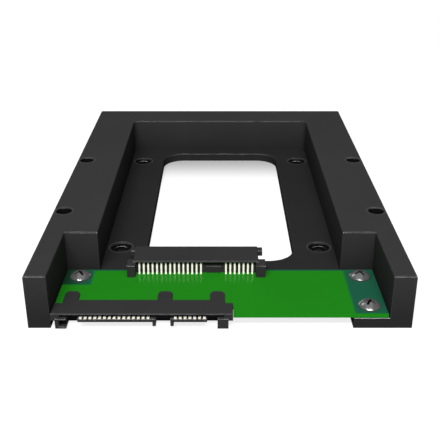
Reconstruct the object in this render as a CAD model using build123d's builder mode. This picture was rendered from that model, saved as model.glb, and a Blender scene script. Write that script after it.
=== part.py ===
"""Drive bay adapter bracket: carries a 2.5-inch drive in a 3.5-inch bay.

Millimetres. X runs across the bracket, +Y from its plug end to its back, +Z up.
The origin is at the middle of the bracket's footprint, on its underside.
"""

import os
from math import isclose

from build123d import *

os.makedirs("parts", exist_ok=True)

# Drive that the bracket carries
drive_width = 69.85
drive_length = 100.0
drive_hole_edge = 4.065
drive_hole_front = 14.0
drive_hole_back = 9.4

# Frame
frame_height = 15.5
rail_width = 15.5
arm_width = 6.0
floor_height = 3.0
back_bar = 14.6
board_bay = 26.2
drive_side_gap = 0.375
drive_front_gap = 1.3
drive_slide = 3.9
pocket_corner = 2.5
rail_nose = 2.0
edge_break = 0.25

# Window in the floor
window_width = 45.3
window_front_margin = 5.0
window_back_margin = 4.8
window_corner = 8.0

# Screw holes of the bay, in the underside and in the sides
bay_hole_front = 41.28
bay_hole_spacing = 44.45
bay_hole_edge = 3.175
bay_thread_radius = 1.75
bay_thread_depth = 6.0
bay_relief_radius = 2.3
side_hole_front = 28.5
side_hole_spacing = 101.6
side_hole_height = 6.35
side_hole_depth = 5.0

# Screw holes of the drive, in the floor
drive_hole_radius = 2.1
drive_recess_radius = 3.1
drive_recess_depth = 0.8
drive_recess_break = 0.35

# Circuit board
board_thickness = 1.0
board_front_gap = 0.3
board_back_gap = 1.35
board_side_gap = 0.35
board_seat = 0.85
board_hole_gap = 0.2

# Screws that hold the board
screw_radius = 1.45
screw_tip_gap = 0.5
thread_gap = 0.05
head_radius = 3.0
head_height = 1.8
head_rim = 0.45
screw_edge = 4.25
screw_pad = 4.65
recess_width = 0.8
recess_reach = 1.9
recess_depth = 1.2
recess_taper = 12
recess_turn = {"left": 35, "right_rear": 30, "right_front": -30}

# Contacts of both connectors
contact_pitch = 1.27
power_contacts = 15
signal_contacts = 7
segment_gap = 7.2
contact_gap = 0.05

# Tongue of the plug, which the receptacle also fits
tongue_thickness = 1.1
tongue_margin = 0.72
tongue_break = 0.3
key_width = 0.85
key_drop = 2.15
power_key_offset = 1.6
signal_key_offset = 0.9

# Plug at the front
plug_overhang = 1.0
plug_side_gap = 0.2
plug_left_margin = 7.9
plug_right_margin = 7.55
plug_edge_gap = 0.1
tongue_reach = 4.3
tongue_below_board = 0.65
wall_thickness = 1.0
wall_bottom = 0.2
hood_thickness = 0.55
hood_hollow = 0.15
hood_setback = 0.6
hood_depth = 7.4
hood_end_width = 2.1
hood_end_cut = 1.6
hood_break = 0.2
jaw_reach = 3.2
tab_width = 4.0
tab_reach = 4.7
tab_inset = 4.15
tab_corner = 1.4
post_inset = 1.2
post_width = 2.9
post_bottom = 0.45
post_height = 2.85
post_wall = 0.5
post_recess = 2.0
end_block_width = 2.3
end_block_bottom = 2.5
plug_contact_width = 0.7
plug_contact_thickness = 0.25
plug_contact_proud = 0.05
plug_contact_setback = 0.1
plug_contact_ramp = 0.6
plug_contact_tip = 0.05
plug_tail = 1.0

# Receptacle at the board's rear edge
receptacle_offset = -6.97
receptacle_length = 9.6
receptacle_engagement = 4.5
receptacle_top = 4.1
receptacle_floor_gap = 0.2
receptacle_edge_gap = 0.1
receptacle_end_wall = 0.9
roof_thickness = 0.5
pin_bay = 0.9
slot_depth = 6.4
slot_gap = 0.1
slot_side_gap = 0.15
slot_top_below = 0.95
block_margin = 1.6
block_setback = 0.6
block_height = 2.1
block_break = 0.15
ear_outside_left = 1.55
ear_outside_right = 1.95
ear_inside = 0.75
ear_front = 2.1
ear_length = 4.35
ear_height = 3.6
wing_width = 1.4
wing_length = 2.4
wing_height = 1.6
wing_back_gap = 0.4
wing_drop = 0.2
pin_width = 0.5
pin_thickness = 0.2
pin_inset = 0.1
pin_tip_gap = 0.8
pin_bow = 0.3
pin_shoulder = 0.4
pin_foot = 0.5

# Pegs of both housings
peg_radius = 0.75
peg_gap = 0.1
peg_length = 1.6

# Places across the bracket
pocket_half = drive_width / 2 + drive_side_gap
frame_half = pocket_half + rail_width
arm_half = frame_half - arm_width
board_half = arm_half - board_side_gap
pad_middle = (pocket_half + arm_half) / 2

# Places along the bracket
drive_to_front = board_bay + drive_front_gap
frame_length = drive_to_front + drive_length + drive_slide + back_bar
front_y = -(frame_length - plug_overhang) / 2
back_y = front_y + frame_length
step_y = front_y + board_bay
drive_y = front_y + drive_to_front
pocket_back_y = back_y - back_bar
board_front_y = front_y + board_front_gap
board_back_y = step_y - board_back_gap
floor_front_y = board_back_y - board_seat
rear_screw_y = board_back_y - screw_edge
front_screw_y = board_front_y + screw_edge
frame_middle_y = (front_y + back_y) / 2

# Heights of the board
board_bottom = floor_height
board_top = board_bottom + board_thickness

# Contacts seen from the front: power on the left, signal on the right, about the connector's middle
power_span = contact_pitch * (power_contacts - 1)
signal_span = contact_pitch * (signal_contacts - 1)
contact_span = power_span + segment_gap + signal_span
power_middle = -contact_span / 2 + power_span / 2
signal_middle = contact_span / 2 - signal_span / 2
power_end = -contact_span / 2 + power_span
signal_start = contact_span / 2 - signal_span
power_key = power_end + power_key_offset
signal_key = signal_start - signal_key_offset
keys_middle = (power_key + signal_key) / 2
power_left = -contact_span / 2 - tongue_margin
power_right = power_key + key_width / 2
signal_left = signal_key - key_width / 2
signal_right = contact_span / 2 + tongue_margin

# Places of the plug
plug_left = plug_side_gap - arm_half
plug_x = plug_left + plug_left_margin + contact_span / 2
plug_right = plug_x + contact_span / 2 + plug_right_margin
plug_front_y = front_y - plug_overhang
wall_y = plug_front_y + tongue_reach
wall_back_y = wall_y + wall_thickness
hood_front_y = plug_front_y + hood_setback
hood_back_y = hood_front_y + hood_depth
hood_top = board_top + hood_thickness
jaw_back_y = wall_back_y + jaw_reach
tongue_top = board_top - tongue_below_board
tongue_bottom = tongue_top - tongue_thickness
board_cut_y = wall_back_y + plug_edge_gap
board_cut_x = plug_right + plug_edge_gap

# Places of the receptacle
receptacle_back_y = drive_y + receptacle_engagement
receptacle_front_y = receptacle_back_y - receptacle_length
pin_wall_y = receptacle_front_y + pin_bay
slot_front_y = receptacle_back_y - slot_depth
receptacle_left = power_left - slot_side_gap - receptacle_end_wall
receptacle_right = signal_right + slot_side_gap + receptacle_end_wall
receptacle_height = board_top + receptacle_top
receptacle_bottom = floor_height + receptacle_floor_gap
roof_bottom = receptacle_height - roof_thickness
slot_top = receptacle_height - slot_top_below
slot_bottom = slot_top - tongue_thickness - 2 * slot_gap
slot_key_bottom = slot_top - key_drop - 2 * slot_gap
ear_front_y = receptacle_front_y - ear_front
ear_top = board_top + ear_height
wing_back_y = receptacle_back_y - wing_back_gap


def box(x_range, y_range, z_range, mode=Mode.ADD):
    """A block between two x, two y and two z values, in the part being built."""
    (left, right), (front, back), (low, high) = x_range, y_range, z_range
    with Locations(((left + right) / 2, (front + back) / 2, (low + high) / 2)):
        Box(right - left, back - front, high - low, mode=mode)


# Frame: a block, hollowed from above for the drive and the board, open at the front and in its floor
with BuildPart() as frame:
    with BuildSketch():
        with Locations((0, frame_middle_y)):
            Rectangle(2 * frame_half, frame_length)
    extrude(amount=frame_height)

    with BuildSketch(Plane.XY.offset(floor_height)):
        with Locations((0, (front_y + step_y) / 2)):
            Rectangle(2 * arm_half, board_bay)
        with Locations((0, (step_y + pocket_back_y) / 2)):
            Rectangle(2 * pocket_half, pocket_back_y - step_y)
        corners = vertices()
        fillet(corners.group_by(Axis.Y)[-1], radius=pocket_corner)
        fillet(corners.group_by(Axis.Y)[1].sort_by(Axis.X)[1:3], radius=rail_nose)
    extrude(amount=frame_height - floor_height, mode=Mode.SUBTRACT)

    # Floor cut away under the board, around its two pads
    box((-arm_half, arm_half), (front_y, floor_front_y), (0, floor_height), mode=Mode.SUBTRACT)
    box((pocket_half, arm_half), (front_y, floor_front_y), (0, floor_height))
    box((-arm_half, -pocket_half), (rear_screw_y - screw_pad, floor_front_y), (0, floor_height))

    window_front_y = drive_y + window_front_margin
    window_back_y = pocket_back_y - window_back_margin
    with BuildSketch():
        with Locations((0, (window_front_y + window_back_y) / 2)):
            RectangleRounded(window_width, window_back_y - window_front_y, window_corner)
    extrude(amount=floor_height, mode=Mode.SUBTRACT)

    # Edges of the upper face and of the window lightly broken
    chamfer(faces().filter_by(Axis.Z).sort_by(Axis.Z)[-1].edges(), length=edge_break)
    window_rim = edges().filter_by_position(Axis.Z, floor_height, floor_height)
    window_rim = window_rim.filter_by_position(Axis.Y, window_front_y, window_back_y)
    window_rim = window_rim.filter_by_position(Axis.X, -window_width / 2, window_width / 2)
    chamfer(window_rim, length=edge_break)

    # Bay holes from below, with a wider relief from above
    bay_half = frame_half - bay_hole_edge
    bay_holes = [
        (x, front_y + bay_hole_front + n * bay_hole_spacing)
        for x in (-bay_half, bay_half)
        for n in (0, 1)
    ]
    with Locations(*[(x, y, frame_height) for x, y in bay_holes]):
        CounterBoreHole(bay_thread_radius, bay_relief_radius, frame_height - bay_thread_depth, frame_height)
    relief_mouths = edges().filter_by(GeomType.CIRCLE).group_by(Axis.Z)[-1]
    relief_mouths = relief_mouths.filter_by(lambda mouth: isclose(mouth.radius, bay_relief_radius))
    chamfer(relief_mouths, length=edge_break)

    # Side holes, blind in the arms and rails
    side_holes = [(front_y + side_hole_front + n * side_hole_spacing, side_hole_height) for n in (0, 1)]
    for side in (-1, 1):
        with Locations(*[Location((side * frame_half, y, z), (0, side * 90, 0)) for y, z in side_holes]):
            Hole(bay_thread_radius, depth=side_hole_depth)

    # Drive holes in the floor, each with a shallow recess whose rim is broken
    drive_half = drive_width / 2 - drive_hole_edge
    drive_holes = [
        (x, y)
        for x in (-drive_half, drive_half)
        for y in (drive_y + drive_hole_front, drive_y + drive_length - drive_hole_back)
    ]
    with Locations(*[(x, y, floor_height) for x, y in drive_holes]):
        CounterBoreHole(drive_hole_radius, drive_recess_radius, drive_recess_depth, floor_height)
    rims = edges().filter_by(GeomType.CIRCLE).filter_by_position(Axis.Z, floor_height, floor_height)
    rims = rims.filter_by(lambda rim: isclose(rim.radius, drive_recess_radius))
    chamfer(rims, length=drive_recess_break)

    # Threaded holes for the board's screws, through the pads
    board_screws = {
        "left": (-pad_middle, rear_screw_y),
        "right_rear": (pad_middle, rear_screw_y),
        "right_front": (pad_middle, front_screw_y),
    }
    with Locations(*[(x, y, floor_height) for x, y in board_screws.values()]):
        Hole(screw_radius + thread_gap, depth=floor_height)
frame.part.label = "frame"
export_step(frame.part, "parts/frame.step")

# Places of the housings' pegs
outer_tabs = (plug_left + tab_inset, plug_right - tab_inset)
plug_pegs = [(x, hood_back_y + tab_reach / 2) for x in outer_tabs]
ear_centres = (
    receptacle_offset + receptacle_left - (ear_outside_left - ear_inside) / 2,
    receptacle_offset + receptacle_right + (ear_outside_right - ear_inside) / 2,
)
receptacle_pegs = [(x, receptacle_front_y) for x in ear_centres]

# Circuit board: cut back at its front left for the plug
with BuildPart() as circuit_board:
    with BuildSketch(Plane.XY.offset(board_bottom)):
        with Locations((0, (board_front_y + board_back_y) / 2)):
            Rectangle(2 * board_half, board_back_y - board_front_y)
        with Locations(((board_cut_x - board_half) / 2, (board_front_y + board_cut_y) / 2)):
            Rectangle(board_cut_x + board_half, board_cut_y - board_front_y, mode=Mode.SUBTRACT)
        with Locations(*board_screws.values()):
            Circle(screw_radius + board_hole_gap, mode=Mode.SUBTRACT)
        with Locations(*plug_pegs, *receptacle_pegs):
            Circle(peg_radius + peg_gap, mode=Mode.SUBTRACT)
    extrude(amount=board_thickness)
circuit_board.part.label = "circuit_board"
export_step(circuit_board.part, "parts/circuit_board.step")


def plug_contact_outline(grow, ramp):
    """Side view of a plug contact: a ramp, along the tongue, down in the wall, and under the board."""
    top = tongue_top + plug_contact_proud
    low = top - plug_contact_thickness
    tail_top = board_bottom
    tail_low = tail_top - plug_contact_thickness
    front = plug_front_y + plug_contact_setback
    bend = wall_y + (wall_thickness - plug_contact_thickness) / 2
    tail_end = jaw_back_y + plug_tail
    return [
        (front - grow, low - grow),
        (bend - grow, low - grow),
        (bend - grow, tail_low - grow),
        (tail_end + grow, tail_low - grow),
        (tail_end + grow, tail_top + grow),
        (bend + plug_contact_thickness + grow, tail_top + grow),
        (bend + plug_contact_thickness + grow, top + grow),
        (front + ramp, top + grow),
        (front - grow, low + plug_contact_tip if ramp else top + grow),
    ]


# Plug housing: a hood over two keyed tongues, a back wall, and a jaw under the board's front edge
with BuildPart() as plug_housing:
    for left, right, key in ((power_left, power_right, power_key), (signal_left, signal_right, signal_key)):
        tongue_y = (plug_front_y, wall_y)
        box((plug_x + left, plug_x + right), tongue_y, (tongue_bottom, tongue_top))
        key_x = (plug_x + key - key_width / 2, plug_x + key + key_width / 2)
        box(key_x, tongue_y, (tongue_top - key_drop, tongue_top))
    tongue_tips = edges().filter_by(Axis.X).filter_by_position(Axis.Y, plug_front_y, plug_front_y)
    chamfer(tongue_tips.filter_by_position(Axis.Z, tongue_bottom, tongue_bottom), length=tongue_break)

    # Wall behind the tongues, and the jaw under the board
    plug_x_range = (plug_left, plug_right)
    box(plug_x_range, (wall_y, wall_back_y), (wall_bottom, board_top))
    box(plug_x_range, (wall_back_y, jaw_back_y), (wall_bottom, board_bottom))

    # Guide posts, the left one with a recess in its face, and the blocks outside them
    for side, edge in ((-1, plug_left), (1, plug_right)):
        outer = edge - side * post_inset
        post_x = sorted((outer, outer - side * post_width))
        box(post_x, (plug_front_y, wall_y), (post_bottom, post_bottom + post_height))
        block_x = sorted((edge, edge - side * end_block_width))
        box(block_x, (hood_front_y, wall_y), (end_block_bottom, board_top))
    left_post = plug_left + post_inset
    recess_x = (left_post + 2 * post_wall, left_post + post_width)
    recess_z = (post_bottom + post_wall, post_bottom + post_height - post_wall)
    box(recess_x, (plug_front_y, plug_front_y + post_recess), recess_z, mode=Mode.SUBTRACT)

    # Hood: a flat plate over the tongues and on the board, with three rounded tabs
    tab_places = (*outer_tabs, plug_x + keys_middle)
    tab_middle_y = hood_back_y + (tab_reach - tab_corner) / 2
    with BuildSketch(Plane.XY.offset(board_top)):
        end_back_y = hood_back_y - hood_end_cut
        with Locations(((plug_left + plug_right) / 2, (hood_front_y + end_back_y) / 2)):
            Rectangle(plug_right - plug_left, end_back_y - hood_front_y)
        with Locations(((plug_left + plug_right) / 2, (hood_front_y + hood_back_y) / 2)):
            Rectangle(plug_right - plug_left - 2 * hood_end_width, hood_depth)
        with Locations(*[(x, tab_middle_y) for x in tab_places]):
            RectangleRounded(tab_width, tab_reach + tab_corner, tab_corner)
    extrude(amount=hood_thickness)
    hood_rim = faces().filter_by(Axis.Z).sort_by(Axis.Z)[-1].edges()
    chamfer(hood_rim, length=hood_break)
    hollow_x = (plug_left + end_block_width, plug_right - end_block_width)
    box(hollow_x, (hood_front_y, wall_y), (board_top, board_top + hood_hollow), mode=Mode.SUBTRACT)

    with BuildSketch(Plane.XY.offset(board_top)):
        with Locations(*plug_pegs):
            Circle(peg_radius)
    extrude(amount=-peg_length)

    # Channels for the contacts
    plug_contact_x = [
        plug_x + middle + (n - (count - 1) / 2) * contact_pitch
        for middle, count in ((power_middle, power_contacts), (signal_middle, signal_contacts))
        for n in range(count)
    ]
    for x in plug_contact_x:
        with BuildSketch(Plane.YZ.offset(x)):
            with BuildLine():
                Polyline(*plug_contact_outline(contact_gap, 0), close=True)
            make_face()
        extrude(amount=plug_contact_width / 2 + contact_gap, both=True, mode=Mode.SUBTRACT)
plug_housing.part.label = "plug_housing"
export_step(plug_housing.part, "parts/plug_housing.step")

# Contact names count away from the keys, as the pins are numbered
contact_names = [f"power_contact_{power_contacts - n:02d}" for n in range(power_contacts)]
contact_names += [f"signal_contact_{signal_contacts - n:02d}" for n in range(signal_contacts)]

# Plug contacts
for name, x in zip(contact_names, plug_contact_x):
    with BuildPart() as plug_contact:
        with BuildSketch(Plane.YZ.offset(x)):
            with BuildLine():
                Polyline(*plug_contact_outline(0, plug_contact_ramp), close=True)
            make_face()
        extrude(amount=plug_contact_width / 2, both=True)
    plug_contact.part.label = f"plug_{name}"
    export_step(plug_contact.part, f"parts/plug_{name}.step")

# Receptacle housing: a block on the board's rear edge, open to the back with two keyed slots
with BuildPart() as receptacle_housing:
    body_x = (receptacle_offset + receptacle_left, receptacle_offset + receptacle_right)
    body_bottom_y = board_back_y + receptacle_edge_gap
    box(body_x, (pin_wall_y, receptacle_back_y), (board_top, receptacle_height))
    box(body_x, (body_bottom_y, receptacle_back_y), (receptacle_bottom, board_top))
    box(body_x, (receptacle_front_y, pin_wall_y), (roof_bottom, receptacle_height))
    body_rim = faces().filter_by(Axis.Z).sort_by(Axis.Z)[-1].edges()
    chamfer(body_rim, length=hood_break)

    # Low block between the two rows of contacts, its upper edge broken
    block_x = (receptacle_offset + power_end + block_margin, receptacle_offset + signal_start - block_margin)
    block_y = (receptacle_front_y + block_setback, pin_wall_y)
    block_top = board_top + block_height
    box(block_x, block_y, (board_top, block_top))
    block_edge = edges().filter_by(Axis.X).filter_by_position(Axis.Z, block_top, block_top)
    chamfer(block_edge.filter_by_position(Axis.Y, block_y[0], block_y[0]), length=block_break)

    # Ears at the front on the board, and a small wing high on each side at the back
    for side, edge, ear_outside in ((-1, body_x[0], ear_outside_left), (1, body_x[1], ear_outside_right)):
        ear_x = sorted((edge + side * ear_outside, edge - side * ear_inside))
        box(ear_x, (ear_front_y, ear_front_y + ear_length), (board_top, ear_top))
        wing_x = sorted((edge, edge + side * wing_width))
        wing_y = (wing_back_y - wing_length, wing_back_y)
        wing_top = receptacle_height - wing_drop
        box(wing_x, wing_y, (wing_top - wing_height, wing_top))

    with BuildSketch(Plane.XY.offset(board_top)):
        with Locations(*receptacle_pegs):
            Circle(peg_radius)
    extrude(amount=-peg_length)

    # Slots that take the drive's tongues and their keys
    slot_y = (slot_front_y, receptacle_back_y)
    for left, right, key in ((power_left, power_right, power_key), (signal_left, signal_right, signal_key)):
        slot_x = (receptacle_offset + left - slot_side_gap, receptacle_offset + right + slot_side_gap)
        box(slot_x, slot_y, (slot_bottom, slot_top), mode=Mode.SUBTRACT)
        key_reach = key_width / 2 + slot_side_gap
        key_x = (receptacle_offset + key - key_reach, receptacle_offset + key + key_reach)
        box(key_x, slot_y, (slot_key_bottom, slot_top), mode=Mode.SUBTRACT)

    # A groove above the slot and a channel through the wall for each contact
    pin_top = slot_top + pin_inset + pin_thickness
    receptacle_contact_x = [
        receptacle_offset + middle + (n - (count - 1) / 2) * contact_pitch
        for middle, count in ((power_middle, power_contacts), (signal_middle, signal_contacts))
        for n in range(count)
    ]
    pin_reach = pin_width / 2 + contact_gap
    channel_z = (pin_top - pin_thickness - contact_gap, pin_top + contact_gap)
    for x in receptacle_contact_x:
        pin_x = (x - pin_reach, x + pin_reach)
        box(pin_x, (pin_wall_y, receptacle_back_y), channel_z, mode=Mode.SUBTRACT)
        box(pin_x, slot_y, (slot_top, pin_top + contact_gap), mode=Mode.SUBTRACT)
receptacle_housing.part.label = "receptacle_housing"
export_step(receptacle_housing.part, "parts/receptacle_housing.step")


def receptacle_contact_outline():
    """Side view of a receptacle contact: a bowed blade in the slot, then down to a foot on the board."""
    tip_y = receptacle_back_y - pin_tip_gap
    bow_y = (tip_y + slot_front_y) / 2
    blade_low = pin_top - pin_thickness
    shank_back_y = receptacle_front_y + pin_thickness
    shoulder_z = board_top + pin_shoulder
    foot_front_y = shank_back_y - pin_foot
    return [
        (tip_y, pin_top),
        (tip_y, blade_low),
        (bow_y, blade_low - pin_bow),
        (slot_front_y, blade_low),
        (pin_wall_y, blade_low),
        (shank_back_y, shoulder_z),
        (shank_back_y, board_top),
        (foot_front_y, board_top),
        (foot_front_y, board_top + pin_thickness),
        (shank_back_y - pin_thickness, board_top + pin_thickness),
        (shank_back_y - pin_thickness, shoulder_z),
        (pin_wall_y - pin_thickness / 2, pin_top),
        (slot_front_y, pin_top),
        (bow_y, pin_top - pin_bow),
    ]


# Receptacle contacts
for name, x in zip(contact_names, receptacle_contact_x):
    with BuildPart() as receptacle_contact:
        with BuildSketch(Plane.YZ.offset(x)):
            with BuildLine():
                Polyline(*receptacle_contact_outline(), close=True)
            make_face()
        extrude(amount=pin_width / 2, both=True)
    receptacle_contact.part.label = f"receptacle_{name}"
    export_step(receptacle_contact.part, f"parts/receptacle_{name}.step")

# Board screws: domed pan head with a cross recess, and a plain shank where the thread is
for name, (x, y) in board_screws.items():
    with BuildPart() as board_screw:
        with BuildSketch(Plane.XZ):
            with BuildLine():
                Line((0, board_top), (head_radius, board_top))
                Line((head_radius, board_top), (head_radius, board_top + head_rim))
                rise = head_height - head_rim
                dome_radius = (head_radius**2 + rise**2) / (2 * rise)
                RadiusArc((head_radius, board_top + head_rim), (0, board_top + head_height), -dome_radius)
                Line((0, board_top + head_height), (0, board_top))
            make_face()
        revolve(axis=Axis.Z)
        with BuildSketch(Plane.XY.offset(board_top)):
            Circle(screw_radius)
        extrude(amount=-(board_top - screw_tip_gap))
        with BuildSketch(Plane.XY.offset(board_top + head_height)):
            with Locations(Location((0, 0), recess_turn[name])):
                Rectangle(2 * recess_reach, recess_width)
                Rectangle(recess_width, 2 * recess_reach)
        extrude(amount=-recess_depth, taper=recess_taper, mode=Mode.SUBTRACT)
    screw = board_screw.part.moved(Location((x, y, 0)))
    screw.label = f"board_screw_{name}"
    export_step(screw, f"parts/board_screw_{name}.step")
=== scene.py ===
"""Drive bay adapter bracket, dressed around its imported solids: a black moulded frame, a green circuit
board screwed across its front, and the board's two black connectors. Metres; X runs across the
bracket, +Y from its plug end to its back, +Z up, with the origin under its middle."""

import math

import bpy
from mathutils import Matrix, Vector


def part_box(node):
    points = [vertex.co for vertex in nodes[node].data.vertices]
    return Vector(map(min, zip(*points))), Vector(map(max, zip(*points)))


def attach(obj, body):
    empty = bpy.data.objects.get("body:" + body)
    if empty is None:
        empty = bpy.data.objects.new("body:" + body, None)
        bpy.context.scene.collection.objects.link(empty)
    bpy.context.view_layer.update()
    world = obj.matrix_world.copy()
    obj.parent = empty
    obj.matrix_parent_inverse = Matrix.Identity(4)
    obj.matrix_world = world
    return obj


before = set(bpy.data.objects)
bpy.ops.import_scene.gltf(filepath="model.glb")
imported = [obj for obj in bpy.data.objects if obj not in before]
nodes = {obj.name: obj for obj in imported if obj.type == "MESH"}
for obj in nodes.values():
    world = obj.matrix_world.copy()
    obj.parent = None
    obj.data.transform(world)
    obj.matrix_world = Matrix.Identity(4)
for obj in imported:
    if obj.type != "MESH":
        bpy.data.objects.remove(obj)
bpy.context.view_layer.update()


# Frame: one black moulding of filled plastic, with a fine spark-eroded grain from its mould. Its edges
# are slightly round and scuffed paler, with a painted highlight on those facing up and to the front.
# Painted shade darkens it towards its floor, and the mouths of its screw holes carry painted shade,
# each with a paler ring of painted highlight round it.

floor_height = 0.003
frame_height = 0.0155
rail_hole_across = 0.047625


def put(tree, kind, inputs=None, **settings):
    """Adds a node; an input is given a value, or the socket of another node that feeds it."""
    node = tree.nodes.new(kind)
    for name, value in settings.items():
        setattr(node, name, value)
    for socket, value in (inputs or {}).items():
        if isinstance(value, bpy.types.NodeSocket):
            tree.links.new(value, node.inputs[socket])
        else:
            node.inputs[socket].default_value = value
    return node


def new_group(name, kind, inputs, outputs):
    """A node group with named sockets, each given as name: (socket type, default value)."""
    group = bpy.data.node_groups.new(name, kind)
    for in_out, sockets in (("INPUT", inputs), ("OUTPUT", outputs)):
        for socket_name, (socket_type, value) in sockets.items():
            socket = group.interface.new_socket(socket_name, in_out=in_out, socket_type=socket_type)
            if value is not None:
                socket.default_value = value
    return group, group.nodes.new("NodeGroupInput"), group.nodes.new("NodeGroupOutput")


def shade(value):
    """A screen shade from 0 to 255 as the linear number that a shader takes."""
    value = value / 255
    return value / 12.92 if value <= 0.04045 else ((value + 0.055) / 1.055) ** 2.4


def colour(red, green, blue):
    return (shade(red), shade(green), shade(blue), 1)


def mould_grain():
    """Fine pits of a spark-eroded mould, and the faint clouding of flow in the plastic."""
    group, given, out = new_group(
        "mould_grain", "ShaderNodeTree",
        {"Place": ("NodeSocketVector", None), "Grain Size": ("NodeSocketFloat", 0.0003)},
        {"Height": ("NodeSocketFloat", 0), "Clouding": ("NodeSocketFloat", 0)},
    )
    scale = put(group, "ShaderNodeMath", {0: 1.0, 1: given.outputs["Grain Size"]}, operation="DIVIDE")
    place = given.outputs["Place"]
    pits = put(group, "ShaderNodeTexNoise", {"Vector": place, "Scale": scale.outputs[0], "Detail": 3.0})
    cells = put(group, "ShaderNodeTexVoronoi", {"Vector": place, "Scale": scale.outputs[0]})
    height = put(group, "ShaderNodeMath", {0: pits.outputs["Fac"], 1: cells.outputs["Distance"]},
                 operation="ADD")
    flow = put(group, "ShaderNodeTexNoise", {"Vector": place, "Scale": 45.0, "Detail": 5.0,
                                             "Distortion": 0.6})
    group.links.new(height.outputs[0], out.inputs["Height"])
    group.links.new(flow.outputs["Fac"], out.inputs["Clouding"])
    return group


def edge_wear_and_highlight():
    """A normal that runs round each edge, and a broken mask along the edges where they are scuffed, with
    a painted highlight on those facing up and to the front.
    """
    group, given, out = new_group(
        "edge_wear_and_highlight", "ShaderNodeTree",
        {"Place": ("NodeSocketVector", None), "Radius": ("NodeSocketFloat", 0.0002),
         "Patch Scale": ("NodeSocketFloat", 300.0)},
        {"Normal": ("NodeSocketVector", None), "Wear And Highlight": ("NodeSocketFloat", 0)},
    )
    rounded = put(group, "ShaderNodeBevel", {"Radius": given.outputs["Radius"]}, samples=6)
    flat = put(group, "ShaderNodeNewGeometry")
    same = put(group, "ShaderNodeVectorMath", {0: rounded.outputs[0], 1: flat.outputs["True Normal"]},
               operation="DOT_PRODUCT")
    edge = put(group, "ShaderNodeMapRange", {"Value": same.outputs["Value"], "From Min": 0.995,
                                             "From Max": 0.8})
    patches = put(group, "ShaderNodeTexNoise", {"Vector": given.outputs["Place"],
                                                "Scale": given.outputs["Patch Scale"], "Detail": 4.0})
    broken = put(group, "ShaderNodeMapRange", {"Value": patches.outputs["Fac"], "From Min": 0.25,
                                               "From Max": 0.5})

    # Edges that turn up and to the front, towards the main light, are scuffed most and carry a painted
    # highlight; inner corners are not
    up_and_front = (0, -0.7071, 0.7071)
    slope = put(group, "ShaderNodeVectorMath", {0: rounded.outputs[0], 1: up_and_front},
                operation="DOT_PRODUCT")
    fronted = put(group, "ShaderNodeMapRange", {"Value": slope.outputs["Value"], "From Min": 0.78,
                                                "From Max": 0.97, "To Min": 0.06})
    thickness = put(group, "ShaderNodeMath", {0: given.outputs["Radius"], 1: 2.0}, operation="MULTIPLY")
    inward = put(group, "ShaderNodeAmbientOcclusion", {"Distance": thickness.outputs[0]}, samples=8,
                 inside=True, only_local=True)
    outer = put(group, "ShaderNodeMapRange", {"Value": inward.outputs["AO"], "From Min": 0.97,
                                              "From Max": 0.8})
    exposed = put(group, "ShaderNodeMath", {0: outer.outputs[0], 1: fronted.outputs[0]},
                  operation="MULTIPLY")
    rubbing_and_highlight = put(group, "ShaderNodeMath", {0: broken.outputs[0], 1: exposed.outputs[0]},
                  operation="MULTIPLY")
    wear_and_highlight = put(group, "ShaderNodeMath", {0: edge.outputs[0], 1: rubbing_and_highlight.outputs[0]},
               operation="MULTIPLY")
    group.links.new(rounded.outputs[0], out.inputs["Normal"])
    group.links.new(wear_and_highlight.outputs[0], out.inputs["Wear And Highlight"])
    return group


GRAIN = mould_grain()
EDGES = edge_wear_and_highlight()


def start_material(name):
    material = bpy.data.materials.new(name)
    material.use_nodes = True
    tree = material.node_tree
    place = put(tree, "ShaderNodeTexCoord").outputs["Object"]
    return material, tree, tree.nodes["Principled BSDF"], place


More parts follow.
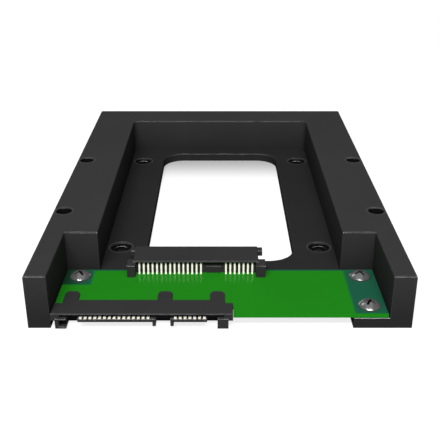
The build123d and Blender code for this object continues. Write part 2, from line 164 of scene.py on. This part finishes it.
def moulded_plastic(name, tone, rubbed_highlight_tone, shade_at_floor, gloss, shine, grain_size, grain_depth, edge_radius):
    """Grained plastic with scuffed edges that carry a painted highlight, and painted shade that darkens
    its tone towards floor height, keeping the given share of it there.
    """
    material, tree, surface, place = start_material(name)
    grain = put(tree, "ShaderNodeGroup", node_tree=GRAIN)
    grain.inputs["Grain Size"].default_value = grain_size
    tree.links.new(place, grain.inputs["Place"])
    edges = put(tree, "ShaderNodeGroup", node_tree=EDGES)
    edges.inputs["Radius"].default_value = edge_radius
    tree.links.new(place, edges.inputs["Place"])

    clouded = put(tree, "ShaderNodeMix", {"Factor": grain.outputs["Clouding"]}, data_type="RGBA")
    clouded.inputs[6].default_value = [0.86 * part for part in tone[:3]] + [1]
    clouded.inputs[7].default_value = [1.14 * part for part in tone[:3]] + [1]
    # Painted shade: the tone darkens from the top faces down to floor height
    up = put(tree, "ShaderNodeSeparateXYZ", {0: place})
    painted_height_shade = put(tree, "ShaderNodeMapRange", {"Value": up.outputs["Z"], "From Min": floor_height,
                                               "From Max": frame_height, "To Min": shade_at_floor})
    toned = put(tree, "ShaderNodeMix", {"Factor": 1.0}, data_type="RGBA", blend_type="MULTIPLY")
    tree.links.new(clouded.outputs[2], toned.inputs[6])
    tree.links.new(painted_height_shade.outputs[0], toned.inputs[7])
    # Painted highlight: a pale tone on edges facing up and to the front, mixed with scuffing
    wear_highlight_mix = put(tree, "ShaderNodeMix", {"Factor": edges.outputs["Wear And Highlight"]}, data_type="RGBA")
    tree.links.new(toned.outputs[2], wear_highlight_mix.inputs[6])
    wear_highlight_mix.inputs[7].default_value = rubbed_highlight_tone
    tree.links.new(wear_highlight_mix.outputs[2], surface.inputs["Base Color"])

    # The walls that face sideways are duller
    roughness = put(tree, "ShaderNodeMapRange", {"Value": grain.outputs["Clouding"],
                                                 "To Min": gloss - 0.04, "To Max": gloss + 0.04})
    facing = put(tree, "ShaderNodeNewGeometry")
    sideways = put(tree, "ShaderNodeVectorMath", {0: facing.outputs["True Normal"], 1: (1, 0, 0)},
                   operation="DOT_PRODUCT")
    wall = put(tree, "ShaderNodeMath", {0: sideways.outputs["Value"]}, operation="ABSOLUTE")
    duller = put(tree, "ShaderNodeMapRange", {"Value": wall.outputs[0], "From Min": 0.6,
                                              "From Max": 0.9, "To Min": 0.0, "To Max": 0.35})
    rough = put(tree, "ShaderNodeMath", {0: roughness.outputs[0], 1: duller.outputs[0]},
                operation="ADD", use_clamp=True)
    tree.links.new(rough.outputs[0], surface.inputs["Roughness"])

    bump = put(tree, "ShaderNodeBump", {"Height": grain.outputs["Height"], "Distance": grain_depth,
                                        "Normal": edges.outputs["Normal"]})
    tree.links.new(bump.outputs[0], surface.inputs["Normal"])
    surface.inputs["Specular IOR Level"].default_value = shine
    return material


def dress(node_name, material):
    """Gives a CAD solid its material, in place of the plain one that it was packed with."""
    solid = nodes[node_name]
    solid.data.materials.clear()
    solid.data.materials.append(material)


def mark_holes(material, middle_x, middle_y, half_length, radius, floor):
    """Paints shade into four like holes above a height, and a paler ring of painted highlight round each
    where screws go in.
    """
    tree = material.node_tree
    place = put(tree, "ShaderNodeTexCoord").outputs["Object"]
    shifted = put(tree, "ShaderNodeVectorMath", {0: place, 1: (0, middle_y, 0)}, operation="SUBTRACT")
    folded = put(tree, "ShaderNodeVectorMath", {0: shifted.outputs[0]}, operation="ABSOLUTE")
    centred = put(tree, "ShaderNodeVectorMath", {0: folded.outputs[0], 1: (middle_x, half_length, 0)},
                  operation="SUBTRACT")
    flat = put(tree, "ShaderNodeVectorMath", {0: centred.outputs[0], 1: (1, 1, 0)}, operation="MULTIPLY")
    reach = put(tree, "ShaderNodeVectorMath", {0: flat.outputs[0]}, operation="LENGTH").outputs["Value"]
    height = put(tree, "ShaderNodeSeparateXYZ", {0: place}).outputs["Z"]
    above = put(tree, "ShaderNodeMath", {0: height, 1: floor}, operation="GREATER_THAN").outputs[0]
    ends = put(tree, "ShaderNodeMapRange", {"Value": reach, "From Min": radius + 0.0008,
                                            "From Max": radius + 0.0006})

    wear_highlight_mix = tree.nodes["Principled BSDF"].inputs["Base Color"].links[0].from_node
    given = wear_highlight_mix.inputs[6].links[0].from_socket
    # Painted shade inside each hole's mouth, then a paler ring of painted highlight round it
    for low, high, shown in ((radius + 0.0001, radius + 0.00002, colour(17, 17, 17)),
                             (radius + 0.0003, radius + 0.00045, colour(68, 68, 68))):
        near = put(tree, "ShaderNodeMapRange", {"Value": reach, "From Min": low, "From Max": high})
        ring = put(tree, "ShaderNodeMath", {0: near.outputs[0], 1: ends.outputs[0]},
                   operation="MULTIPLY")
        mask = put(tree, "ShaderNodeMath", {0: ring.outputs[0], 1: above}, operation="MULTIPLY")
        marked = put(tree, "ShaderNodeMix", {"Factor": mask.outputs[0]}, data_type="RGBA")
        tree.links.new(given, marked.inputs[6])
        marked.inputs[7].default_value = shown
        given = marked.outputs[2]
    tree.links.new(given, wear_highlight_mix.inputs[6])


frame_plastic = moulded_plastic(
    "frame_plastic", tone=colour(52, 52, 52), rubbed_highlight_tone=colour(235, 235, 235), shade_at_floor=0.62, gloss=0.6,
    shine=0.03, grain_size=0.00028, grain_depth=0.000012, edge_radius=0.00026,
)
mark_holes(frame_plastic, middle_x=0.03086, middle_y=0.0073, half_length=0.0383, radius=0.0031,
           floor=0.001)
mark_holes(frame_plastic, middle_x=rail_hole_across, middle_y=-0.008995, half_length=0.022225,
           radius=0.0023, floor=0.008)
dress("frame", frame_plastic)


# Threads in the frame: the bay's screws cut them in the plastic, four up from the underside and two
# in from each side. Each is one ridge wound round the bore, half of it in the wall.

rail_thread_start = 0.0004
rail_hole_places = (-0.03122, 0.01323)
side_thread_start = 0.0504
side_hole_height = 0.00635
side_hole_places = (-0.044, 0.0576)
bay_pitch = 0.00079375


def thread_tree():
    """Winds a ridge from each start, for as many turns as it is given, and turns it to the bore."""
    group, given, out = new_group(
        "thread", "GeometryNodeTree",
        {"Starts": ("NodeSocketGeometry", None), "Radius": ("NodeSocketFloat", 0.00175),
         "Pitch": ("NodeSocketFloat", 0.0008), "Turns": ("NodeSocketFloat", 6.0),
         "Depth": ("NodeSocketFloat", 0.0003), "Turned": ("NodeSocketRotation", None),
         "Material": ("NodeSocketMaterial", None)},
        {"Thread": ("NodeSocketGeometry", None)},
    )
    rise = put(group, "ShaderNodeMath", {0: given.outputs["Pitch"], 1: given.outputs["Turns"]},
               operation="MULTIPLY")
    winding = put(group, "GeometryNodeCurveSpiral", {"Resolution": 20,
                                                     "Rotations": given.outputs["Turns"],
                                                     "Start Radius": given.outputs["Radius"],
                                                     "End Radius": given.outputs["Radius"],
                                                     "Height": rise.outputs[0]})
    upright = put(group, "GeometryNodeSetCurveNormal", {"Curve": winding.outputs[0]}, mode="Z_UP")
    section = put(group, "GeometryNodeCurvePrimitiveCircle", {"Resolution": 4,
                                                              "Radius": given.outputs["Depth"]})
    ridge = put(group, "GeometryNodeCurveToMesh", {"Curve": upright.outputs[0],
                                                   "Profile Curve": section.outputs[0],
                                                   "Fill Caps": True})
    each = put(group, "GeometryNodeInstanceOnPoints", {"Points": given.outputs["Starts"],
                                                       "Instance": ridge.outputs[0],
                                                       "Rotation": given.outputs["Turned"]})
    real = put(group, "GeometryNodeRealizeInstances", {0: each.outputs[0]})
    done = put(group, "GeometryNodeSetMaterial", {0: real.outputs[0],
                                                  "Material": given.outputs["Material"]})
    group.links.new(done.outputs[0], out.inputs[0])
    return group


def grow(name, tree, points, values):
    """Runs a geometry tree on a few points, and keeps what it makes as a plain mesh on the part."""
    seed = bpy.data.meshes.new(name + "_points")
    seed.from_pydata(points, [], [])
    maker = bpy.data.objects.new(name + "_points", seed)
    bpy.context.scene.collection.objects.link(maker)
    modifier = maker.modifiers.new(name, "NODES")
    modifier.node_group = tree
    sockets = {item.name: item.identifier for item in tree.interface.items_tree if item.in_out == "INPUT"}
    for socket_name, value in values.items():
        modifier[sockets[socket_name]] = value
    bpy.context.view_layer.update()
    made = maker.evaluated_get(bpy.context.evaluated_depsgraph_get())
    mesh = bpy.data.meshes.new_from_object(made)
    maker.modifiers.remove(modifier)
    bpy.data.objects.remove(maker)
    mesh.name = name
    piece = bpy.data.objects.new(name, mesh)
    bpy.context.scene.collection.objects.link(piece)
    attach(piece, "root")
    return piece


THREAD = thread_tree()
bay_screw = {"Radius": 0.00175, "Pitch": bay_pitch, "Depth": 0.0003, "Material": frame_plastic}

rail_holes = [(x, y, rail_thread_start) for x in (-rail_hole_across, rail_hole_across)
              for y in rail_hole_places]
grow("rail_hole_threads", THREAD, rail_holes, {**bay_screw, "Turns": 6.6})

for side, x, turn in (("left", -side_thread_start, math.pi / 2),
                      ("right", side_thread_start, -math.pi / 2)):
    side_holes = [(x, y, side_hole_height) for y in side_hole_places]
    grow(f"side_hole_threads_{side}", THREAD, side_holes,
         {**bay_screw, "Turns": 5.4, "Turned": (0, turn, 0)})


# Circuit board: glass-fibre laminate under a green solder mask, cut with a router. The mask is glossy
# and slightly wavy, the glass cloth shows through it, and the frame's black pads darken it to teal.

pad_outer = 0.05
pad_back = -0.04
right_pad_inner = 0.0358
right_pad_front = -0.0717
left_pad_inner = -0.0364
left_pad_front = -0.0564
rear_lip_front = -0.0483


def solder_mask():
    material, tree, surface, place = start_material("solder_mask")
    apart = put(tree, "ShaderNodeSeparateXYZ", {0: place})
    x, y = apart.outputs["X"], apart.outputs["Y"]

    def within(value, low, high, soft):
        """1 between two places and 0 outside them, softly."""
        rise = put(tree, "ShaderNodeMapRange", {"Value": value, "From Min": low - soft,
                                                "From Max": low + soft}, interpolation_type="SMOOTHSTEP")
        fall = put(tree, "ShaderNodeMapRange", {"Value": value, "From Min": high + soft,
                                                "From Max": high - soft}, interpolation_type="SMOOTHSTEP")
        both = put(tree, "ShaderNodeMath", {0: rise.outputs[0], 1: fall.outputs[0]}, operation="MULTIPLY")
        return both.outputs[0]

    soft = 0.0005
    right_pad = put(tree, "ShaderNodeMath", {0: within(x, right_pad_inner, pad_outer, soft),
                                             1: within(y, right_pad_front, pad_back, 0.0002)},
                    operation="MULTIPLY")
    left_pad = put(tree, "ShaderNodeMath", {0: within(x, -pad_outer, left_pad_inner, soft),
                                            1: within(y, left_pad_front, pad_back, soft)},
                   operation="MULTIPLY")
    rear_lip = within(y, rear_lip_front, pad_back, 0.00025)
    pads = put(tree, "ShaderNodeMath", {0: right_pad.outputs[0], 1: left_pad.outputs[0]},
               operation="MAXIMUM")
    backed = put(tree, "ShaderNodeMath", {0: pads.outputs[0], 1: rear_lip}, operation="MAXIMUM")

    cloth = put(tree, "ShaderNodeTexWave", {"Vector": place, "Scale": 700.0, "Distortion": 1.2,
                                            "Detail": 1.0}, bands_direction="X")
    weft = put(tree, "ShaderNodeTexWave", {"Vector": place, "Scale": 520.0, "Distortion": 1.2,
                                           "Detail": 1.0}, bands_direction="Y")
    weave = put(tree, "ShaderNodeMath", {0: cloth.outputs["Fac"], 1: weft.outputs["Fac"]},
                operation="MULTIPLY")
    drift = put(tree, "ShaderNodeTexNoise", {"Vector": place, "Scale": 60.0, "Detail": 4.0})
    mixed = put(tree, "ShaderNodeMath", {0: weave.outputs[0], 1: drift.outputs["Fac"]}, operation="ADD")
    tint = put(tree, "ShaderNodeMapRange", {"Value": mixed.outputs[0], "From Min": 0.3, "From Max": 1.3})
    green = put(tree, "ShaderNodeMix", {"Factor": tint.outputs[0]}, data_type="RGBA")
    green.inputs[6].default_value = colour(27, 117, 21)
    green.inputs[7].default_value = colour(32, 127, 26)
    teal = put(tree, "ShaderNodeMix", {"Factor": backed.outputs[0]}, data_type="RGBA")
    tree.links.new(green.outputs[2], teal.inputs[6])
    # Painted shadow: the teal darkens towards the board's left edge, beside the frame's arm
    painted_arm_shadow = put(tree, "ShaderNodeMapRange", {"Value": x, "From Min": -0.0445, "From Max": -0.037})
    pad = put(tree, "ShaderNodeMix", {"Factor": painted_arm_shadow.outputs[0]}, data_type="RGBA")
    pad.inputs[6].default_value = colour(22, 54, 34)
    pad.inputs[7].default_value = colour(28, 85, 63)
    tree.links.new(pad.outputs[2], teal.inputs[7])
    facing = put(tree, "ShaderNodeNewGeometry")
    upward = put(tree, "ShaderNodeSeparateXYZ", {0: facing.outputs["True Normal"]})
    upright = put(tree, "ShaderNodeMath", {0: upward.outputs["Z"]}, operation="ABSOLUTE")
    routed = put(tree, "ShaderNodeMath", {0: upright.outputs[0], 1: 0.5}, operation="LESS_THAN")
    cut = put(tree, "ShaderNodeMix", {"Factor": routed.outputs[0]}, data_type="RGBA")
    tree.links.new(teal.outputs[2], cut.inputs[6])
    cut.inputs[7].default_value = colour(27, 134, 24)
    tree.links.new(cut.outputs[2], surface.inputs["Base Color"])

    ripple = put(tree, "ShaderNodeTexNoise", {"Vector": place, "Scale": 900.0, "Detail": 2.0})
    height = put(tree, "ShaderNodeMath", {0: ripple.outputs["Fac"], 1: weave.outputs[0]}, operation="ADD")
    bump = put(tree, "ShaderNodeBump", {"Height": height.outputs[0], "Distance": 0.000003})
    tree.links.new(bump.outputs[0], surface.inputs["Normal"])
    roughness = put(tree, "ShaderNodeMapRange", {"Value": drift.outputs["Fac"], "To Min": 0.13,
                                                 "To Max": 0.22})
    tree.links.new(roughness.outputs[0], surface.inputs["Roughness"])
    surface.inputs["Specular IOR Level"].default_value = 0.03
    return material


dress("circuit_board", solder_mask())


# Connector housings: two mouldings of heat-resistant black plastic, the plug on the board's front edge
# and the receptacle on its rear edge. They are finer and a little glossier than the frame.

# Its pale edge tone is a painted highlight, as on the frame
housing_plastic = moulded_plastic(
    "housing_plastic", tone=colour(48, 48, 48), rubbed_highlight_tone=colour(205, 205, 205), shade_at_floor=1.0, gloss=0.55,
    shine=0.05, grain_size=0.00016, grain_depth=0.000005, edge_radius=0.00016,
)
for housing in ("plug_housing", "receptacle_housing"):
    dress(housing, housing_plastic)


# Contacts: strips of stamped copper alloy, bent, plated with nickel and a flash of pale gold. The feet
# of the receptacle's contacts and the tails of the plug's are soldered to the board.

def plated_metal(name, plate, dull, gloss, metallic):
    """Plating with fine rolling marks, dulled in patches."""
    material, tree, surface, place = start_material(name)
    strokes = put(tree, "ShaderNodeMapping", {"Vector": place, "Scale": (9000.0, 900.0, 900.0)})
    rolling = put(tree, "ShaderNodeTexNoise", {"Vector": strokes.outputs[0], "Scale": 1.0, "Detail": 3.0})
    stain = put(tree, "ShaderNodeTexNoise", {"Vector": place, "Scale": 700.0, "Detail": 4.0})
    tint = put(tree, "ShaderNodeMix", {"Factor": stain.outputs["Fac"]}, data_type="RGBA")
    tint.inputs[6].default_value = plate
    tint.inputs[7].default_value = dull
    tree.links.new(tint.outputs[2], surface.inputs["Base Color"])
    roughness = put(tree, "ShaderNodeMapRange", {"Value": stain.outputs["Fac"], "To Min": gloss - 0.06,
                                                 "To Max": gloss + 0.08})
    tree.links.new(roughness.outputs[0], surface.inputs["Roughness"])
    bump = put(tree, "ShaderNodeBump", {"Height": rolling.outputs["Fac"], "Distance": 0.000002})
    tree.links.new(bump.outputs[0], surface.inputs["Normal"])
    surface.inputs["Metallic"].default_value = metallic
    return material


contact_plating = plated_metal("contact_plating", plate=colour(255, 253, 240),
                               dull=colour(250, 246, 222), gloss=0.4, metallic=0.3)
contacts = sorted(name for name in nodes if "_contact_" in name)
for name in contacts:
    dress(name, contact_plating)


# Soldered joints: a fillet of solder over each foot and tail, on a land of the board. Surface tension
# makes each a small smooth mound, and no two are quite alike.

foot_set_in = 0.0003
tail_set_in = 0.0004
tail_joint_height = 0.003


def solder_tree():
    """Sets a mound on each joint, each a little larger or smaller than the next."""
    group, given, out = new_group(
        "solder_joint", "GeometryNodeTree",
        {"Joints": ("NodeSocketGeometry", None), "Width": ("NodeSocketFloat", 0.0008),
         "Length": ("NodeSocketFloat", 0.0016), "Height": ("NodeSocketFloat", 0.0002),
         "Seed": ("NodeSocketInt", 1), "Material": ("NodeSocketMaterial", None)},
        {"Solder": ("NodeSocketGeometry", None)},
    )
    halves = [put(group, "ShaderNodeMath", {0: given.outputs[size], 1: 0.5}, operation="MULTIPLY")
              for size in ("Width", "Length")]
    size = put(group, "ShaderNodeCombineXYZ", {0: halves[0].outputs[0], 1: halves[1].outputs[0],
                                               2: given.outputs["Height"]})
    ball = put(group, "GeometryNodeMeshUVSphere", {"Segments": 14, "Rings": 8, "Radius": 1.0})
    mound = put(group, "GeometryNodeTransform", {"Geometry": ball.outputs[0], "Scale": size.outputs[0]})
    spread = put(group, "FunctionNodeRandomValue", {2: 0.86, 3: 1.1, "Seed": given.outputs["Seed"]},
                 data_type="FLOAT")
    each = put(group, "GeometryNodeInstanceOnPoints", {"Points": given.outputs["Joints"],
                                                       "Instance": mound.outputs[0],
                                                       "Scale": spread.outputs[1]})
    real = put(group, "GeometryNodeRealizeInstances", {0: each.outputs[0]})
    smooth = put(group, "GeometryNodeSetShadeSmooth", {0: real.outputs[0]})
    done = put(group, "GeometryNodeSetMaterial", {0: smooth.outputs[0],
                                                  "Material": given.outputs["Material"]})
    group.links.new(done.outputs[0], out.inputs[0])
    return group


SOLDER = solder_tree()
solder = plated_metal("solder", plate=colour(205, 208, 200), dull=colour(182, 186, 176), gloss=0.4,
                      metallic=0.6)

feet, tails = [], []
for name in contacts:
    low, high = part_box(name)
    middle = (low.x + high.x) / 2
    if name.startswith("receptacle"):
        feet.append((middle, low.y + foot_set_in, low.z))
    else:
        tails.append((middle, high.y - tail_set_in, tail_joint_height))
foot_mound = {"Width": 0.00064, "Length": 0.0007, "Height": 0.00018, "Seed": 3, "Material": solder}
tail_mound = {"Width": 0.00095, "Length": 0.0015, "Height": 0.0004, "Seed": 8, "Material": solder}
grow("receptacle_solder", SOLDER, feet, foot_mound)
grow("plug_solder", SOLDER, tails, tail_mound)


# Board screws: three pan heads of turned and nickel-plated steel with a cross recess, driven through
# the board into the frame's pads. Fine rings from turning run round each head.

dome_radius = 0.00401


def turning_marks():
    """Rings that a lathe leaves round an axis, and scuffs across them."""
    group, given, out = new_group(
        "turning_marks", "ShaderNodeTree",
        {"Place": ("NodeSocketVector", None), "Ring Width": ("NodeSocketFloat", 0.00006)},
        {"Height": ("NodeSocketFloat", 0), "Scuffs": ("NodeSocketFloat", 0)},
    )
    flat = put(group, "ShaderNodeVectorMath", {0: given.outputs["Place"], 1: (1, 1, 0)},
               operation="MULTIPLY")
    reach = put(group, "ShaderNodeVectorMath", {0: flat.outputs[0]}, operation="LENGTH")
    ring = put(group, "ShaderNodeMath", {0: reach.outputs["Value"], 1: given.outputs["Ring Width"]},
               operation="DIVIDE")
    rings = put(group, "ShaderNodeTexNoise", {"W": ring.outputs[0], "Scale": 1.0, "Detail": 2.0},
                noise_dimensions="1D")
    scuffs = put(group, "ShaderNodeTexNoise", {"Vector": given.outputs["Place"], "Scale": 1500.0,
                                               "Detail": 5.0, "Distortion": 1.0})
    group.links.new(rings.outputs["Fac"], out.inputs["Height"])
    group.links.new(scuffs.outputs["Fac"], out.inputs["Scuffs"])
    return group


RINGS = turning_marks()


def plated_screw(name, x, y, top):
    """Bright turned plating, with painted shade where the recess is sunk below the head's dome."""
    material, tree, surface, place = start_material(name)
    centred = put(tree, "ShaderNodeVectorMath", {0: place, 1: (x, y, 0)}, operation="SUBTRACT")
    marks = put(tree, "ShaderNodeGroup", node_tree=RINGS)
    tree.links.new(centred.outputs[0], marks.inputs["Place"])
    tint = put(tree, "ShaderNodeMix", {"Factor": marks.outputs["Scuffs"]}, data_type="RGBA")
    tint.inputs[6].default_value = colour(140, 139, 140)
    tint.inputs[7].default_value = colour(170, 169, 170)
    from_centre = put(tree, "ShaderNodeVectorMath", {0: place, 1: (x, y, top - dome_radius)},
                      operation="DISTANCE")
    recess_shade_mask = put(tree, "ShaderNodeMapRange", {"Value": from_centre.outputs["Value"],
                                            "From Min": dome_radius - 0.00005,
                                            "From Max": dome_radius - 0.0004})
    painted_recess_shade = put(tree, "ShaderNodeMix", {"Factor": recess_shade_mask.outputs[0]}, data_type="RGBA")
    tree.links.new(tint.outputs[2], painted_recess_shade.inputs[6])
    painted_recess_shade.inputs[7].default_value = colour(24, 24, 24)
    tree.links.new(painted_recess_shade.outputs[2], surface.inputs["Base Color"])
    roughness = put(tree, "ShaderNodeMapRange", {"Value": marks.outputs["Scuffs"], "To Min": 0.12,
                                                 "To Max": 0.2})
    tree.links.new(roughness.outputs[0], surface.inputs["Roughness"])
    bump = put(tree, "ShaderNodeBump", {"Height": marks.outputs["Height"], "Distance": 0.000002})
    tree.links.new(bump.outputs[0], surface.inputs["Normal"])
    surface.inputs["Metallic"].default_value = 0.75
    return material


for place in ("left", "right_rear", "right_front"):
    low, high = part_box(f"board_screw_{place}")
    screw_metal = plated_screw(f"screw_{place}", (low.x + high.x) / 2, (low.y + high.y) / 2, high.z)
    dress(f"board_screw_{place}", screw_metal)


# Table: a plain pale sheet under the bracket, with raised borders far off. Seen by the camera or in a
# reflection it glows, so that it reads as white and still takes a faint shadow, and under the window's
# back its glow is lowered as a painted shadow. From below it is clear, so that the bracket's underside
# shows.

covered_x = 0.05
covered_y = 0.072
shade_half_width = 0.03
shade_front = 0.028
shade_full = 0.055
shade_end = 0.06


def white_table():
    size = 4.0
    height = -0.00005
    border_reach = 1.1 * size
    border_height = 0.3 * size
    mesh = bpy.data.meshes.new("table")
    signs = ((-1, -1), (1, -1), (1, 1), (-1, 1))
    corners = [(size * x, size * y, height) for x, y in signs]
    corners += [(border_reach * x, border_reach * y, border_height) for x, y in signs]
    borders = [(here, here + 4, (here + 1) % 4 + 4, (here + 1) % 4) for here in range(4)]
    mesh.from_pydata(corners, [], [(0, 1, 2, 3)] + borders)
    table = bpy.data.objects.new("table", mesh)
    bpy.context.scene.collection.objects.link(table)
    material, tree, surface, place = start_material("table_white")
    surface.inputs["Base Color"].default_value = (0.28, 0.28, 0.28, 1)
    surface.inputs["Roughness"].default_value = 0.9
    surface.inputs["Specular IOR Level"].default_value = 0.1
    surface.inputs["Emission Color"].default_value = (1, 1, 1, 1)
    ray = put(tree, "ShaderNodeLightPath")
    apart = put(tree, "ShaderNodeSeparateXYZ", {0: place})
    aside = put(tree, "ShaderNodeMath", {0: apart.outputs["X"]}, operation="ABSOLUTE")
    along = put(tree, "ShaderNodeMath", {0: apart.outputs["Y"]}, operation="ABSOLUTE")

    # Painted shade: a reflection sees little of the glow that the bracket covers
    beside = put(tree, "ShaderNodeMath", {0: aside.outputs[0], 1: covered_x}, operation="GREATER_THAN")
    around = put(tree, "ShaderNodeMath", {0: along.outputs[0], 1: covered_y}, operation="GREATER_THAN")
    clear_of = put(tree, "ShaderNodeMath", {0: beside.outputs[0], 1: around.outputs[0]},
                   operation="MAXIMUM")
    uncovered = put(tree, "ShaderNodeMapRange", {"Value": clear_of.outputs[0], "To Min": 0.15})
    mirrored = put(tree, "ShaderNodeMath", {0: ray.outputs["Is Glossy Ray"], 1: uncovered.outputs[0]},
                   operation="MULTIPLY")
    direct = put(tree, "ShaderNodeMath", {0: ray.outputs["Is Camera Ray"], 1: mirrored.outputs[0]},
                 operation="MAXIMUM")
    seen = put(tree, "ShaderNodeMath", {0: direct.outputs[0], 1: ray.outputs["Is Transmission Ray"]},
               operation="MAXIMUM")

    # Painted shadow: the glow falls off towards the window's back, and it grows a little far away
    in_window = put(tree, "ShaderNodeMath", {0: aside.outputs[0], 1: shade_half_width},
                    operation="LESS_THAN")
    at_back = put(tree, "ShaderNodeMapRange", {"Value": apart.outputs["Y"], "From Min": shade_front,
                                               "From Max": shade_full}, interpolation_type="SMOOTHSTEP")
    before_end = put(tree, "ShaderNodeMath", {0: apart.outputs["Y"], 1: shade_end}, operation="LESS_THAN")
    window_back = put(tree, "ShaderNodeMath", {0: in_window.outputs[0], 1: at_back.outputs[0]},
                      operation="MULTIPLY")
    shaded = put(tree, "ShaderNodeMath", {0: window_back.outputs[0], 1: before_end.outputs[0]},
                 operation="MULTIPLY")
    near = put(tree, "ShaderNodeMapRange", {"Value": shaded.outputs[0], "To Min": 0.82, "To Max": 0.2})
    out = put(tree, "ShaderNodeVectorMath", {0: place}, operation="LENGTH")
    far = put(tree, "ShaderNodeMapRange", {"Value": out.outputs["Value"], "From Min": 0.25,
                                           "From Max": 1.0, "To Min": 0.0, "To Max": 0.22})
    glow = put(tree, "ShaderNodeMath", {0: near.outputs[0], 1: far.outputs[0]}, operation="ADD")
    shown = put(tree, "ShaderNodeMath", {0: seen.outputs[0], 1: glow.outputs[0]}, operation="MULTIPLY")
    tree.links.new(shown.outputs[0], surface.inputs["Emission Strength"])
    clear = put(tree, "ShaderNodeBsdfTransparent")
    below = put(tree, "ShaderNodeNewGeometry")
    sheet = put(tree, "ShaderNodeMixShader", {0: below.outputs["Backfacing"], 1: surface.outputs[0],
                                              2: clear.outputs[0]})
    tree.links.new(sheet.outputs[0], tree.nodes["Material Output"].inputs["Surface"])
    mesh.materials.append(material)


white_table()


# Light: a soft panel high in front and a little to the left, a long thin one beside it for the edges, a
# small dim one behind on the left, and a wide dim one overhead for the metal to mirror. The room round
# them is dark grey.

def panel(name, place, aim, width, depth, power):
    lamp = bpy.data.lights.new(name, "AREA")
    lamp.shape = "RECTANGLE"
    lamp.size = width
    lamp.size_y = depth
    lamp.energy = power
    holder = bpy.data.objects.new(name, lamp)
    holder.location = place
    holder.rotation_euler = (Vector(aim) - Vector(place)).to_track_quat("-Z", "Y").to_euler()
    bpy.context.scene.collection.objects.link(holder)


panel("front_panel", place=(-0.06, -0.54, 0.64), aim=(0, 0, 0), width=0.5, depth=0.16, power=6.6)
panel("edge_panel", place=(-0.05, -0.52, 0.64), aim=(0, 0, 0), width=1.3, depth=0.06, power=3.2)
panel("back_panel", place=(-0.42, 0.4, 0.6), aim=(0, 0, 0), width=0.3, depth=0.3, power=0.35)
panel("top_panel", place=(0, 0.05, 0.9), aim=(0, 0, 0), width=0.9, depth=0.9, power=0.6)

room = bpy.data.worlds.new("room")
room.use_nodes = True
room.node_tree.nodes["Background"].inputs["Color"].default_value = (0.02, 0.02, 0.02, 1)
bpy.context.scene.world = room


# Camera: where the photograph was taken from, in front of the bracket and looking down at it. Its place
# and lens were fitted to the bracket's corners.

looking_down = 24.85

camera_data = bpy.data.cameras.new("photo_camera")
camera_data.sensor_width = 36
camera_data.lens = 62.63
camera_data.clip_start = 0.01
camera_data.clip_end = 20
camera = bpy.data.objects.new("photo_camera", camera_data)
camera.location = (0, -0.24444, 0.11113)
camera.rotation_euler = (math.radians(90 - looking_down), 0, 0)
bpy.context.scene.collection.objects.link(camera)
bpy.context.scene.camera = camera
bpy.context.scene.view_settings.view_transform = "Standard"
